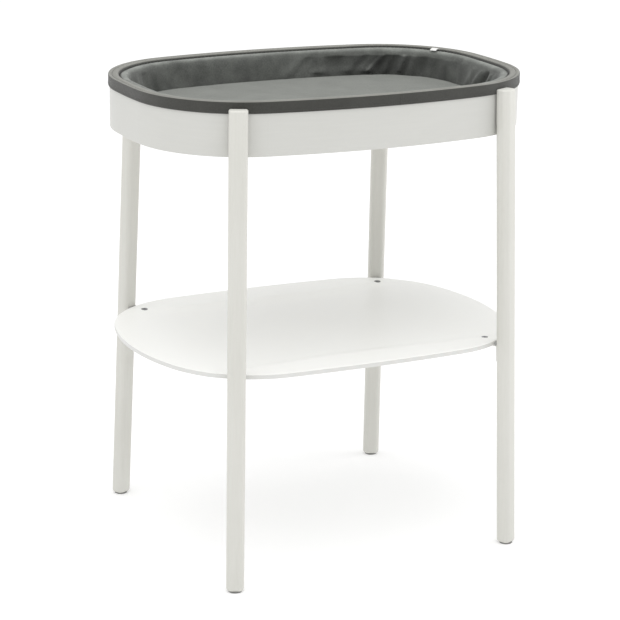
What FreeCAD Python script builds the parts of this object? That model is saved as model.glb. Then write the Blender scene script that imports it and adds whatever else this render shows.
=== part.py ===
import FreeCAD, Part
import math
import os
import Sketcher
from FreeCAD import Placement, Rotation, Vector

# Changing table: an oval padded tray on four splayed legs, with a dished shelf below.
# Millimetres, +Z up. The origin is on the floor, under the middle of the tray.
# X runs along the long side, and -Y is the front.

doc = FreeCAD.newDocument("changing_table")

# ---------------------------------------------------------------- driving dimensions

SIZES = [
    ("tray_half_length", 391),      # outer face of the ring, at its two ends
    ("tray_half_width", 265),       # outer face of the ring, at its two long sides
    ("tray_side_radius", 1390),     # the ring's three bend radii: long sides, ends, corners
    ("tray_end_radius", 1120),
    ("tray_corner_radius", 204),
    ("ring_thickness", 13),
    ("ring_bottom", 811),
    ("ring_top", 908),
    ("ring_edge_round", 2),
    ("floor_top", 832),
    ("floor_thickness", 8),
    ("floor_gap", 0.2),
    ("wood_screw_diameter", 4.5),
    ("wood_screw_head", 9),
    ("cleat_width", 18),
    ("cleat_height", 12),
    ("cleat_side_length", 300),
    ("cleat_end_length", 160),
    ("cleat_screw_end", 45),        # from a cleat's end to its screws
    ("cleat_screw_depth", 9),       # how far a floor screw goes into its cleat
    ("floor_screw_shift", 12),      # a floor screw stands beside the cleat's own screw
    ("leg_angle", 24.5),            # the way a leg faces, measured from Y
    ("leg_top", 900),
    ("leg_splay", 43),              # how far a leg leans out over its whole height
    ("leg_width_top", 35),
    ("leg_width_foot", 33.5),
    ("leg_depth", 29.5),
    ("leg_corner_radius", 11),
    ("leg_gap", 3),                 # room between ring and leg, where the hem is tucked in
    ("leg_top_round", 3),
    ("leg_foot_round", 5),
    ("bolt_low", 848),              # heights of the two bolts in each leg
    ("bolt_high", 880),
    ("bolt_diameter", 6),
    ("bolt_hole", 6.6),
    ("bolt_length", 27),
    ("bolt_head_diameter", 13),
    ("bolt_head_height", 3),
    ("bolt_recess_diameter", 17),
    ("bolt_recess_depth", 5),
    ("hex_key", 4),
    ("socket_floor", 1),            # metal left under a hexagon socket
    ("washer_diameter", 16),
    ("washer_thickness", 1.2),
    ("insert_diameter", 10),
    ("insert_length", 14),
    ("bolt_tip_room", 5),           # how far a bolt's hole goes on past its insert
    ("leg_spacer_diameter", 14),
    ("glide_diameter", 25),
    ("glide_thickness", 3),
    ("glide_pin_diameter", 4),
    ("glide_pin_length", 16),
    ("shelf_half_length", 385),
    ("shelf_half_width", 282.5),
    ("shelf_side_radius", 3000),
    ("shelf_end_radius", 441),
    ("shelf_corner_radius", 200),
    ("shelf_top", 409.5),
    ("shelf_thickness", 9),
    ("shelf_edge_round", 2),
    ("dish_depth", 7),
    ("dish_inset", 60),
    ("dish_slope", 80),
    ("shelf_screw_reach", 12.4),    # from the line of the ring's outer face, inwards
    ("shelf_screw_diameter", 6),
    ("shelf_screw_hole", 6.6),
    ("shelf_screw_length", 17),
    ("shelf_head_diameter", 12.5),
    ("shelf_head_height", 2),
    ("shelf_recess_diameter", 14),
    ("shelf_recess_depth", 2.5),
    ("nut_width", 10),
    ("nut_height", 5),
    ("bracket_width", 14),
    ("bracket_thickness", 3),
    ("bracket_drop", 32),
    ("bracket_reach", 28),
    ("bracket_screw_length", 20),
    ("bracket_screw_high", 13.4),   # the two screws in a bracket's flange, below the shelf
    ("bracket_screw_low", 25.6),
    ("shelf_spacer_width", 20),
    ("shelf_spacer_height", 7.5),
    ("shelf_spacer_thickness", 4.4),
    ("rim_top", 911.5),
    ("hem_bottom", 890),
    ("hem_thickness", 2.3),
    ("hem_inner_bottom", 894),
    ("hem_inner_edge", 18),         # inset of the hem's inner side from the ring's outer face
    ("fabric_gap", 0.3),
    ("elastic_height", 4),
    ("elastic_thickness", 1),
    ("elastic_rise", 2),
    ("liner_outer", 14),            # insets of the padded wall from the ring's outer face
    ("liner_neck", 18.6),
    ("liner_lip", 27),
    ("liner_bulge", 36),
    ("liner_foot", 46),
    ("liner_base_thickness", 1.5),
    ("liner_top", 907),
    ("liner_bulge_height", 889),
    ("pad_inset", 48),
    ("pad_bottom", 834.2),
    ("pad_top", 860),
    ("pad_round", 7),
    ("pad_cover_thickness", 1.5),
    ("pad_seam", 846),
    ("label_angle", 58),            # where the loop label sits on the corner, measured from Y
    ("label_width", 16),
    ("label_length", 10),
    ("label_thickness", 1.6),
]

sheet = doc.addObject("Spreadsheet::Sheet", "size")
for row, (alias, number) in enumerate(SIZES, start=1):
    sheet.set("A%d" % row, alias)
    sheet.set("B%d" % row, str(number))
    sheet.setAlias("B%d" % row, alias)
doc.recompute()


def value(alias):
    return float(sheet.get(alias))


def number(expression):
    """Work out an expression on the sheet's aliases, such as 'ring_top - ring_bottom'."""
    host = doc.getObject("calculator") or doc.addObject("App::FeaturePython", "calculator")
    result = host.evalExpression(bound(expression))
    return float(getattr(result, "Value", result))


def bound(expression):
    """The same expression with every alias spelled as a cell of the sheet."""
    words = expression.replace("(", " ( ").replace(")", " ) ").split()
    aliases = {alias for alias, _ in SIZES}
    return " ".join("size." + word if word in aliases else word for word in words)


# ---------------------------------------------------------------- sketches and features

def new_body(label, placement=None):
    body = doc.addObject("PartDesign::Body", label)
    body.Label = label
    if placement:
        body.Placement = placement
    return body


def new_sketch(body, name, plane="XY_Plane", height=None):
    """A sketch on one of the body's own planes, moved along its normal by an expression."""
    sketch = body.newObject("Sketcher::SketchObject", name)
    support = [item for item in body.Origin.OriginFeatures if item.Role == plane][0]
    sketch.AttachmentSupport = (support, [""])
    sketch.MapMode = "FlatFace"
    if height:
        sketch.setExpression("AttachmentOffset.Base.z", bound(height))
    return sketch


def constrain(sketch, name, expression, kind, *where):
    index = sketch.addConstraint(Sketcher.Constraint(kind, *where, number(expression)))
    sketch.renameConstraint(index, name)
    sketch.setExpression("Constraints." + name, bound(expression))


def oval_corner(family):
    """Centre of the first corner arc, which touches the side arc and the end arc from inside."""
    side_centre = Vector(0, value(family + "_half_width") - value(family + "_side_radius"), 0)
    end_centre = Vector(value(family + "_half_length") - value(family + "_end_radius"), 0, 0)
    side_reach = value(family + "_side_radius") - value(family + "_corner_radius")
    end_reach = value(family + "_end_radius") - value(family + "_corner_radius")
    line = end_centre - side_centre
    along = (side_reach ** 2 - end_reach ** 2 + line.Length ** 2) / (2 * line.Length)
    across = math.sqrt(side_reach ** 2 - along ** 2)
    unit = line / line.Length
    return side_centre + unit * along + Vector(unit.y, -unit.x, 0) * across


def add_oval(sketch, family, inset):
    """Eight tangent arcs: the family's outline, moved inwards by the expression inset."""
    corner = oval_corner(family)
    side_offset = value(family + "_side_radius") - value(family + "_half_width")
    end_offset = value(family + "_end_radius") - value(family + "_half_length")
    end_turn = math.atan2(corner.y, corner.x + end_offset)
    side_turn = math.atan2(corner.y + side_offset, corner.x)
    half = math.pi
    arcs = [
        ("end", Vector(-end_offset, 0, 0), -end_turn, end_turn),
        ("corner", corner, end_turn, side_turn),
        ("side", Vector(0, -side_offset, 0), side_turn, half - side_turn),
        ("corner", Vector(-corner.x, corner.y, 0), half - side_turn, half - end_turn),
        ("end", Vector(end_offset, 0, 0), half - end_turn, half + end_turn),
        ("corner", Vector(-corner.x, -corner.y, 0), half + end_turn, half + side_turn),
        ("side", Vector(0, side_offset, 0), half + side_turn, 2 * half - side_turn),
        ("corner", Vector(corner.x, -corner.y, 0), 2 * half - side_turn, 2 * half - end_turn),
    ]
    first = sketch.GeometryCount
    for kind, centre, start, end in arcs:
        radius = value("%s_%s_radius" % (family, kind)) - number(inset)
        circle = Part.Circle(centre, Vector(0, 0, 1), radius)
        sketch.addGeometry(Part.ArcOfCircle(circle, start, end), False)
    for index in range(8):
        following = first + (index + 1) % 8
        sketch.addConstraint(Sketcher.Constraint("Tangent", first + index, 2, following, 1))
    for index, (kind, _, _, _) in enumerate(arcs):
        radius = "%s_%s_radius - ( %s )" % (family, kind, inset)
        constrain(sketch, "radius_%d" % (first + index), radius, "Radius", first + index)
    side = "%s_side_radius - %s_half_width" % (family, family)
    end = "%s_end_radius - %s_half_length" % (family, family)
    constrain(sketch, "right_%d" % first, end, "DistanceX", first, 3, -1, 1)
    constrain(sketch, "left_%d" % first, end, "DistanceX", -1, 1, first + 4, 3)
    constrain(sketch, "back_%d" % first, side, "DistanceY", first + 2, 3, -1, 1)
    constrain(sketch, "front_%d" % first, side, "DistanceY", -1, 1, first + 6, 3)
    for index in (0, 4):
        sketch.addConstraint(Sketcher.Constraint("PointOnObject", first + index, 3, -1))
    for index in (2, 6):
        sketch.addConstraint(Sketcher.Constraint("PointOnObject", first + index, 3, -2))


def oval_sketch(body, name, family, height, *insets):
    sketch = new_sketch(body, name, height=height)
    for inset in insets:
        add_oval(sketch, family, inset)
    return sketch


def add_circle(sketch, diameter, across="0", along="0"):
    """A circle centred at two expressions, in the sketch's own directions."""
    centre = Vector(number(across), number(along), 0)
    index = sketch.addGeometry(Part.Circle(centre, Vector(0, 0, 1), number(diameter) / 2), False)
    constrain(sketch, "diameter_%d" % index, diameter, "Diameter", index)
    for kind, expression, axis in (("DistanceX", across, -2), ("DistanceY", along, -1)):
        if expression == "0":
            sketch.addConstraint(Sketcher.Constraint("PointOnObject", index, 3, axis))
        else:
            constrain(sketch, "%s_%d" % (kind, index), expression, kind, -1, 1, index, 3)


def add_polygon(sketch, points):
    """A closed outline through points, each a pair of expressions."""
    places = [Vector(number(across), number(along), 0) for across, along in points]
    for index, place in enumerate(places):
        sketch.addGeometry(Part.LineSegment(place, places[(index + 1) % len(places)]), False)
    for index, (across, along) in enumerate(points):
        following = (index + 1) % len(points)
        sketch.addConstraint(Sketcher.Constraint("Coincident", index, 2, following, 1))
        constrain(sketch, "across_%d" % index, across, "DistanceX", -1, 1, index, 1)
        constrain(sketch, "along_%d" % index, along, "DistanceY", -1, 1, index, 1)


def add_rounded_rectangle(sketch, width, low, high, radius):
    """Centred on the sketch's Y axis, from low to high along it."""
    half, bottom, top, bend = number(width) / 2, number(low), number(high), number(radius)
    corners = [(half, bottom, 1.5), (half, top, 0.0), (-half, top, 0.5), (-half, bottom, 1.0)]
    ends = []
    for x, y, turn in corners:
        centre = Vector(x - math.copysign(bend, x), y - bend if y == top else y + bend, 0)
        circle = Part.Circle(centre, Vector(0, 0, 1), bend)
        arc = Part.ArcOfCircle(circle, turn * math.pi, (turn + 0.5) * math.pi)
        sketch.addGeometry(arc, False)
        ends.append((arc.StartPoint, arc.EndPoint))
    for index in range(4):
        start, finish = ends[index][1], ends[(index + 1) % 4][0]
        sketch.addGeometry(Part.LineSegment(start, finish), False)
        sketch.addConstraint(Sketcher.Constraint("Tangent", index, 2, 4 + index, 1))
        sketch.addConstraint(Sketcher.Constraint("Tangent", 4 + index, 2, (index + 1) % 4, 1))
        kind = "Vertical" if index in (0, 2) else "Horizontal"
        sketch.addConstraint(Sketcher.Constraint(kind, 4 + index))
        constrain(sketch, "bend_%d" % index, radius, "Radius", index)
    constrain(sketch, "half_right", width + " / 2", "DistanceX", -1, 1, 4, 1)
    constrain(sketch, "half_left", width + " / 2", "DistanceX", 6, 1, -1, 1)
    constrain(sketch, "high", high, "DistanceY", -1, 1, 5, 1)
    constrain(sketch, "low", low, "DistanceY", -1, 1, 7, 1)


def new_feature(body, kind, name, sketch, length=None, reverse=False, both_ways=False):
    """A Pad or Pocket of an expression's length; it must change the body's volume."""
    before = body.Shape.Volume if body.Tip else 0
    feature = body.newObject("PartDesign::" + kind, name)
    feature.Profile = sketch
    if length:
        feature.setExpression("Length", bound(length))
    feature.Reversed = reverse
    if both_ways:
        feature.SideType = "Symmetric"
    doc.recompute()
    if abs(feature.Shape.Volume - before) < 1:
        raise RuntimeError("%s %s changes nothing" % (body.Label, name))
    return feature


def new_loft(body, kind, name, sketches):
    loft = body.newObject("PartDesign::" + kind, name)
    loft.Profile = sketches[0]
    loft.Sections = sketches[1:]
    doc.recompute()
    return loft


def round_edges(body, name, radius, heights):
    """Round every edge of the body's tip that lies wholly at one of the given heights."""
    tip = body.Tip
    names = []
    for index, edge in enumerate(tip.Shape.Edges, start=1):
        box = edge.BoundBox
        if any(abs(box.ZMin - level) < 0.01 and abs(box.ZMax - level) < 0.01 for level in heights):
            names.append("Edge%d" % index)
    fillet = body.newObject("PartDesign::Fillet", name)
    fillet.Base = (tip, names)
    fillet.setExpression("Radius", bound(radius))
    doc.recompute()
    return fillet


def oval_pad(body, name, family, low, high, *insets):
    sketch = oval_sketch(body, name + "_outline", family, low, *insets)
    return new_feature(body, "Pad", name, sketch, "( %s ) - ( %s )" % (high, low))


def new_cylinder(name, diameter, length, placement):
    cylinder = doc.addObject("Part::Cylinder", name)
    cylinder.setExpression("Radius", bound("( %s ) / 2" % diameter))
    cylinder.setExpression("Height", bound(length))
    cylinder.Placement = placement
    return cylinder


HEX_CORNER = 1 / math.sqrt(3)       # a hexagon's corner radius for each unit across its flats


def new_prism(name, across_flats, length, placement):
    """A hexagonal prism, such as a nut or the socket of a bolt."""
    prism = doc.addObject("Part::Prism", name)
    prism.Polygon = 6
    prism.setExpression("Circumradius", bound("%s * %.6f" % (across_flats, HEX_CORNER)))
    prism.setExpression("Height", bound(length))
    prism.Placement = placement
    return prism


def new_union(name, shapes):
    union = doc.addObject("Part::MultiFuse", name)
    union.Shapes = shapes
    return union


def new_difference(name, base, tool):
    cut = doc.addObject("Part::Cut", name)
    cut.Base = base
    cut.Tool = tool
    return cut


def new_group(label, pieces):
    """Several like pieces, each a solid of its own, kept as one sub-part."""
    group = doc.addObject("Part::Compound", label)
    group.Label = label
    group.Links = pieces
    return group


# ---------------------------------------------------------------- where the four legs stand

CORNERS = {
    "front_left": (-1, -1),
    "front_right": (1, -1),
    "back_left": (-1, 1),
    "back_right": (1, 1),
}


def corner_frame(side_x, side_y):
    """Local Y points out of the ring at the leg, and its zero is the ring's outer face."""
    turn = math.radians(value("leg_angle"))
    outward = Vector(side_x * math.sin(turn), side_y * math.cos(turn), 0)
    centre = oval_corner("tray")
    seat = Vector(side_x * centre.x, side_y * centre.y, 0) + outward * value("tray_corner_radius")
    return Placement(seat, Rotation(Vector(0, 0, 1), math.degrees(math.atan2(-outward.x, outward.y))))


FRAMES = {name: corner_frame(*sides) for name, sides in CORNERS.items()}
LEAN = math.atan2(value("leg_splay"), value("leg_top"))


def lean_at(height):
    """Expression for the leg's inner face, outwards of the ring, at a height expression."""
    return "leg_gap + leg_splay * ( ring_bottom - ( %s ) ) / leg_top" % height


def pointing(place, direction):
    """A placement at place whose Z axis is along direction."""
    return Placement(place, Rotation(Vector(0, 0, 1), direction))


SUBPARTS = []


def keep(item):
    SUBPARTS.append(item)
    return item


# ---------------------------------------------------------------- legs

FOOT_AXIS = lean_at("0") + " + leg_depth / 2"


def make_leg(corner):
    body = keep(new_body("leg_" + corner, FRAMES[corner]))
    sections = []
    for name, height, width in (
        ("foot", "glide_thickness", "leg_width_foot"),
        ("head", "leg_top", "leg_width_top"),
    ):
        sketch = new_sketch(body, name + "_section", height=height)
        inner = lean_at(height)
        add_rounded_rectangle(sketch, width, inner, inner + " + leg_depth", "leg_corner_radius")
        sections.append(sketch)
    new_loft(body, "AdditiveLoft", "shaft", sections)
    seat = new_sketch(body, "seat_outline", "YZ_Plane")
    outside = "0 - leg_depth"
    above = "leg_top + leg_depth"
    add_polygon(seat, [(outside, "ring_bottom"), ("leg_gap", "ring_bottom"),
                       ("leg_gap", above), (outside, above)])
    new_feature(body, "Pocket", "seat", seat, "leg_width_top * 2", both_ways=True)
    round_edges(body, "top_round", "leg_top_round", [value("leg_top")])
    round_edges(body, "foot_round", "leg_foot_round", [value("glide_thickness")])
    holes = new_sketch(body, "insert_holes", "XZ_Plane")
    for height in ("bolt_low", "bolt_high"):
        add_circle(holes, "insert_diameter", "0", height)
    new_feature(body, "Pocket", "insert_bores", holes, "leg_gap + insert_length")
    tips = new_sketch(body, "bolt_tip_holes", "XZ_Plane")
    for height in ("bolt_low", "bolt_high"):
        add_circle(tips, "bolt_hole", "0", height)
    new_feature(body, "Pocket", "bolt_tip_bores", tips, "leg_gap + insert_length + bolt_tip_room")
    pin = new_sketch(body, "glide_pin_hole", height="glide_thickness")
    add_circle(pin, "glide_pin_diameter", "0", FOOT_AXIS)
    new_feature(body, "Pocket", "glide_pin_bore", pin, "glide_pin_length", reverse=True)


for corner in CORNERS:
    make_leg(corner)


# ---------------------------------------------------------------- foot glides

def make_glide(corner):
    body = keep(new_body("foot_glide_" + corner, FRAMES[corner]))
    disc = new_sketch(body, "disc_outline")
    add_circle(disc, "glide_diameter", "0", FOOT_AXIS)
    new_feature(body, "Pad", "disc", disc, "glide_thickness")


glide_pins = []
for corner, frame in FRAMES.items():
    make_glide(corner)
    foot = frame.multiply(Placement(Vector(0, number(FOOT_AXIS), value("glide_thickness")), Rotation()))
    glide_pins.append(new_cylinder("glide_pin_" + corner, "glide_pin_diameter", "glide_pin_length", foot))
keep(new_group("glide_pins", glide_pins))


# ---------------------------------------------------------------- tray ring and its leg bolts

ring_blank = new_body("ring_blank")
oval_pad(ring_blank, "wall", "tray", "ring_bottom", "ring_top", "0", "ring_thickness")
round_edges(ring_blank, "edge_rounds", "ring_edge_round", [value("ring_bottom"), value("ring_top")])


def bolt_place(frame, height, depth):
    """On a bolt's axis, depth inwards of the ring's outer face, pointing out into the leg."""
    place = frame.multVec(Vector(0, -depth, value(height)))
    return pointing(place, frame.Rotation.multVec(Vector(0, 1, 0)))


DRILL_START = 2                     # a drill starts this far clear of the ring's inner face
drills = []
bolts = []
washers = []
inserts = []
leg_spacers = []
head_seat = value("ring_thickness") - value("bolt_recess_depth")
for corner, frame in FRAMES.items():
    for height in ("bolt_low", "bolt_high"):
        name = "_%s_%s" % (height, corner)
        inner_face = bolt_place(frame, height, value("ring_thickness") + DRILL_START)
        through = "ring_thickness + %g" % (2 * DRILL_START)
        sunk = "bolt_recess_depth + %g" % DRILL_START
        drills.append(new_cylinder("bore" + name, "bolt_hole", through, inner_face))
        drills.append(new_cylinder("recess" + name, "bolt_recess_diameter", sunk, inner_face))
        washer_low = bolt_place(frame, height, head_seat + value("washer_thickness"))
        washer = new_cylinder("washer_blank" + name, "washer_diameter", "washer_thickness", washer_low)
        washer_bore = new_cylinder("washer_bore" + name, "bolt_hole", "washer_thickness", washer_low)
        washers.append(new_difference("washer" + name, washer, washer_bore))
        head_depth = head_seat + value("washer_thickness") + value("bolt_head_height")
        head_low = bolt_place(frame, height, head_depth)
        head = new_cylinder("head" + name, "bolt_head_diameter", "bolt_head_height", head_low)
        shank = new_cylinder("shank" + name, "bolt_diameter", "bolt_head_height + bolt_length", head_low)
        socket = new_prism("socket" + name, "hex_key", "bolt_head_height - socket_floor", head_low)
        bolts.append(new_difference("bolt" + name, new_union("bolt_blank" + name, [head, shank]), socket))
        gap_low = bolt_place(frame, height, -value("leg_gap"))
        insert = new_cylinder("insert_blank" + name, "insert_diameter", "insert_length", gap_low)
        insert_bore = new_cylinder("insert_bore" + name, "bolt_diameter", "insert_length", gap_low)
        inserts.append(new_difference("insert" + name, insert, insert_bore))
        ring_face = bolt_place(frame, height, 0)
        spacer = new_cylinder("spacer_blank" + name, "leg_spacer_diameter", "leg_gap", ring_face)
        spacer_bore = new_cylinder("spacer_bore" + name, "bolt_hole", "leg_gap", ring_face)
        leg_spacers.append(new_difference("leg_spacer" + name, spacer, spacer_bore))

ring = keep(new_difference("tray_ring", ring_blank, new_group("ring_drills", drills)))
ring.Label = "tray_ring"
keep(new_group("leg_bolts", bolts))
keep(new_group("leg_bolt_washers", washers))
keep(new_group("leg_inserts", inserts))
keep(new_group("leg_spacers", leg_spacers))


# ---------------------------------------------------------------- tray floor and cleats

CLEAT_TOP = "floor_top - floor_thickness"
CLEAT_BOTTOM = CLEAT_TOP + " - cleat_height"
tray_floor = keep(new_body("tray_floor"))
oval_pad(tray_floor, "panel", "tray", CLEAT_TOP, "floor_top", "ring_thickness + floor_gap")


def make_cleat(side, length_alias, along_x, sign):
    """A length of batten that follows the inside of the ring, cut out of a whole oval band."""
    band = new_body("cleat_band_" + side)
    oval_pad(band, "band", "tray", CLEAT_BOTTOM, CLEAT_TOP,
             "ring_thickness", "ring_thickness + cleat_width")
    slab = doc.addObject("Part::Box", "cleat_slab_" + side)
    reach = value("tray_half_length") if not along_x else value("tray_half_width")
    slab.setExpression("Length", bound(length_alias if along_x else "tray_half_length"))
    slab.setExpression("Width", bound("tray_half_width" if along_x else length_alias))
    slab.setExpression("Height", bound("cleat_height * 2"))
    half = value(length_alias) / 2
    low = number(CLEAT_BOTTOM + " - cleat_height / 2")
    start = reach / 2 if sign > 0 else -1.5 * reach
    slab.Placement.Base = Vector(-half, start, low) if along_x else Vector(start, -half, low)
    cleat = keep(doc.addObject("Part::Common", "floor_cleat_" + side))
    cleat.Label = "floor_cleat_" + side
    cleat.Base = band
    cleat.Tool = slab


for side, length_alias, along_x, sign in (
    ("front", "cleat_side_length", True, -1),
    ("back", "cleat_side_length", True, 1),
    ("left", "cleat_end_length", False, -1),
    ("right", "cleat_end_length", False, 1),
):
    make_cleat(side, length_alias, along_x, sign)


def new_wood_screw(name, place, direction, length):
    """A countersunk head on a plain shank, its head's flat face at place."""
    placement = pointing(place, direction)
    cone = doc.addObject("Part::Cone", name + "_head")
    cone.setExpression("Radius1", bound("wood_screw_head / 2"))
    cone.setExpression("Radius2", bound("wood_screw_diameter / 2"))
    cone.setExpression("Height", bound("( wood_screw_head - wood_screw_diameter ) / 2"))
    cone.Placement = placement
    shank = new_cylinder(name + "_shank", "wood_screw_diameter", length, placement)
    return new_union(name, [cone, shank])


def cleat_points():
    """Places along the cleats, as (point on the band's middle line, outward direction)."""
    middle = value("ring_thickness") + value("cleat_width") / 2
    side_radius = value("tray_side_radius")
    end_radius = value("tray_end_radius")
    side_centre = value("tray_half_width") - side_radius
    end_centre = value("tray_half_length") - end_radius
    points = []
    side_reach = value("cleat_side_length") / 2 - value("cleat_screw_end")
    end_reach = value("cleat_end_length") / 2 - value("cleat_screw_end")
    for half in (-1, 1):
        turn = math.asin(half * side_reach / (side_radius - middle))
        for sign in (-1, 1):
            outward = Vector(math.sin(turn), sign * math.cos(turn), 0)
            points.append((Vector(0, sign * side_centre, 0) + outward * (side_radius - middle), outward))
        turn = math.asin(half * end_reach / (end_radius - middle))
        for sign in (-1, 1):
            outward = Vector(sign * math.cos(turn), math.sin(turn), 0)
            points.append((Vector(sign * end_centre, 0, 0) + outward * (end_radius - middle), outward))
    return points


cleat_screws = []
floor_screws = []
CLEAT_SCREW_LENGTH = "cleat_width + ring_thickness / 2"
for index, (point, outward) in enumerate(cleat_points()):
    inner = point - outward * (value("cleat_width") / 2)
    inner.z = number(CLEAT_TOP) - value("cleat_height") / 2
    cleat_screws.append(new_wood_screw("cleat_screw_%d" % index, inner, outward, CLEAT_SCREW_LENGTH))
    along = Vector(-outward.y, outward.x, 0)
    top = point + along * value("floor_screw_shift")
    top.z = value("floor_top")
    floor_screws.append(new_wood_screw("floor_screw_%d" % index, top, Vector(0, 0, -1),
                                       "floor_thickness + cleat_screw_depth"))
keep(new_group("cleat_screws", cleat_screws))
keep(new_group("floor_screws", floor_screws))


# ---------------------------------------------------------------- shelf

shelf = keep(new_body("shelf"))
SHELF_BOTTOM = "shelf_top - shelf_thickness"
oval_pad(shelf, "plate", "shelf", SHELF_BOTTOM, "shelf_top", "0")
round_edges(shelf, "edge_rounds", "shelf_edge_round", [value("shelf_top"), number(SHELF_BOTTOM)])
PAN_RIM = "dish_inset - shelf_edge_round"
new_loft(shelf, "AdditiveLoft", "pan", [
    oval_sketch(shelf, "pan_rim", "shelf", SHELF_BOTTOM, PAN_RIM),
    oval_sketch(shelf, "pan_floor", "shelf", SHELF_BOTTOM + " - dish_depth", PAN_RIM + " + dish_slope"),
])
new_loft(shelf, "SubtractiveLoft", "dish", [
    oval_sketch(shelf, "dish_rim", "shelf", "shelf_top", "dish_inset"),
    oval_sketch(shelf, "dish_floor", "shelf", "shelf_top - dish_depth", "dish_inset + dish_slope"),
])


def shelf_screw_place(frame):
    return frame.multVec(Vector(0, -value("shelf_screw_reach"), 0))


for name, diameter, depth in (
    ("screw_holes", "shelf_screw_hole", "shelf_thickness"),
    ("screw_recesses", "shelf_recess_diameter", "shelf_recess_depth"),
):
    sketch = new_sketch(shelf, name + "_outline", height="shelf_top")
    for frame in FRAMES.values():
        centre = shelf_screw_place(frame)
        index = sketch.addGeometry(Part.Circle(centre, Vector(0, 0, 1), value(diameter) / 2), False)
        constrain(sketch, "diameter_%d" % index, diameter, "Diameter", index)
        sketch.addConstraint(Sketcher.Constraint("DistanceX", -1, 1, index, 3, centre.x))
        sketch.addConstraint(Sketcher.Constraint("DistanceY", -1, 1, index, 3, centre.y))
    new_feature(shelf, "Pocket", name, sketch, depth)


# ---------------------------------------------------------------- shelf brackets and fasteners

def make_bracket(corner):
    """A bent steel angle: one flange under the shelf, the other down the leg's inner face."""
    body = keep(new_body("shelf_bracket_" + corner, FRAMES[corner]))
    side = new_sketch(body, "side_outline", "YZ_Plane")
    top = SHELF_BOTTOM
    bottom = SHELF_BOTTOM + " - bracket_drop"
    under = SHELF_BOTTOM + " - bracket_thickness"
    add_polygon(side, [
        ("0 - bracket_reach", top),
        (lean_at(top), top),
        (lean_at(bottom), bottom),
        (lean_at(bottom) + " - bracket_thickness", bottom),
        (lean_at(under) + " - bracket_thickness", under),
        ("0 - bracket_reach", under),
    ])
    new_feature(body, "Pad", "angle", side, "bracket_width", both_ways=True)
    hole = new_sketch(body, "hole_outline", height=top)
    add_circle(hole, "shelf_screw_hole", "0", "0 - shelf_screw_reach")
    new_feature(body, "Pocket", "screw_hole", hole, "bracket_thickness * 2")


SPACER_BODY = new_body("shelf_spacer_master")
spacer_side = new_sketch(SPACER_BODY, "side_outline", "YZ_Plane")
spacer_high = SHELF_BOTTOM + " + shelf_spacer_height"
add_polygon(spacer_side, [
    (lean_at(SHELF_BOTTOM) + " - shelf_spacer_thickness", SHELF_BOTTOM),
    (lean_at(SHELF_BOTTOM), SHELF_BOTTOM),
    (lean_at(spacer_high), spacer_high),
    (lean_at(SHELF_BOTTOM) + " - shelf_spacer_thickness", spacer_high),
])
new_feature(SPACER_BODY, "Pad", "block", spacer_side, "shelf_spacer_width", both_ways=True)

shelf_screws = []
shelf_nuts = []
shelf_spacers = []
bracket_screws = []
for corner, frame in FRAMES.items():
    make_bracket(corner)
    centre = shelf_screw_place(frame)
    head_low = Vector(centre.x, centre.y, value("shelf_top") - value("shelf_recess_depth"))
    upward = Placement(head_low, Rotation())
    head = new_cylinder("shelf_head_" + corner, "shelf_head_diameter", "shelf_head_height", upward)
    shank = new_cylinder("shelf_shank_" + corner, "shelf_screw_diameter", "shelf_screw_length",
                         pointing(head_low, Vector(0, 0, -1)))
    socket_low = Placement(head_low + Vector(0, 0, value("socket_floor")), Rotation())
    socket = new_prism("shelf_socket_" + corner, "hex_key", "shelf_head_height", socket_low)
    shelf_screws.append(new_difference("shelf_screw_" + corner,
                                       new_union("shelf_screw_blank_" + corner, [head, shank]), socket))
    nut_low = Vector(centre.x, centre.y, number(SHELF_BOTTOM + " - bracket_thickness - nut_height"))
    nut = new_prism("nut_blank_" + corner, "nut_width", "nut_height", Placement(nut_low, frame.Rotation))
    nut_axis = Placement(nut_low, Rotation())
    nut_bore = new_cylinder("nut_bore_" + corner, "shelf_screw_diameter", "nut_height", nut_axis)
    shelf_nuts.append(new_difference("nut_" + corner, nut, nut_bore))
    link = doc.addObject("App::Link", "shelf_spacer_" + corner)
    link.LinkedObject = SPACER_BODY
    link.Placement = frame
    shelf_spacers.append(link)
    into_leg = frame.Rotation.multVec(Vector(0, math.cos(LEAN), math.sin(LEAN)))
    for drop in ("bracket_screw_high", "bracket_screw_low"):
        height = "%s - %s" % (SHELF_BOTTOM, drop)
        face = number(lean_at(height)) - value("bracket_thickness")
        place = frame.multVec(Vector(0, face, number(height)))
        bracket_screws.append(new_wood_screw("%s_%s" % (drop, corner), place, into_leg,
                                             "bracket_screw_length"))

keep(new_group("shelf_screws", shelf_screws))
keep(new_group("shelf_nuts", shelf_nuts))
keep(new_group("shelf_spacers", shelf_spacers))
keep(new_group("bracket_screws", bracket_screws))


# ---------------------------------------------------------------- fabric rim hem and its elastic

rim_hem = keep(new_body("rim_hem"))
HEM_OUTSIDE = "0 - fabric_gap - hem_thickness"
HEM_INSIDE = "0 - fabric_gap"
oval_pad(rim_hem, "top_roll", "tray", "ring_top + fabric_gap", "rim_top", HEM_OUTSIDE, "hem_inner_edge")
oval_pad(rim_hem, "outer_band", "tray", "hem_bottom", "ring_top + fabric_gap", HEM_OUTSIDE, HEM_INSIDE)
oval_pad(rim_hem, "inner_band", "tray", "hem_inner_bottom", "ring_top + fabric_gap",
         "ring_thickness + fabric_gap", "hem_inner_edge")
ELASTIC_LOW = "hem_bottom + elastic_rise"
groove = oval_sketch(rim_hem, "elastic_groove_outline", "tray", ELASTIC_LOW,
                     HEM_INSIDE + " - elastic_thickness", HEM_INSIDE)
new_feature(rim_hem, "Pocket", "elastic_groove", groove, "elastic_height", reverse=True)
round_edges(rim_hem, "roll_round", "ring_edge_round / 2", [value("rim_top")])

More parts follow.
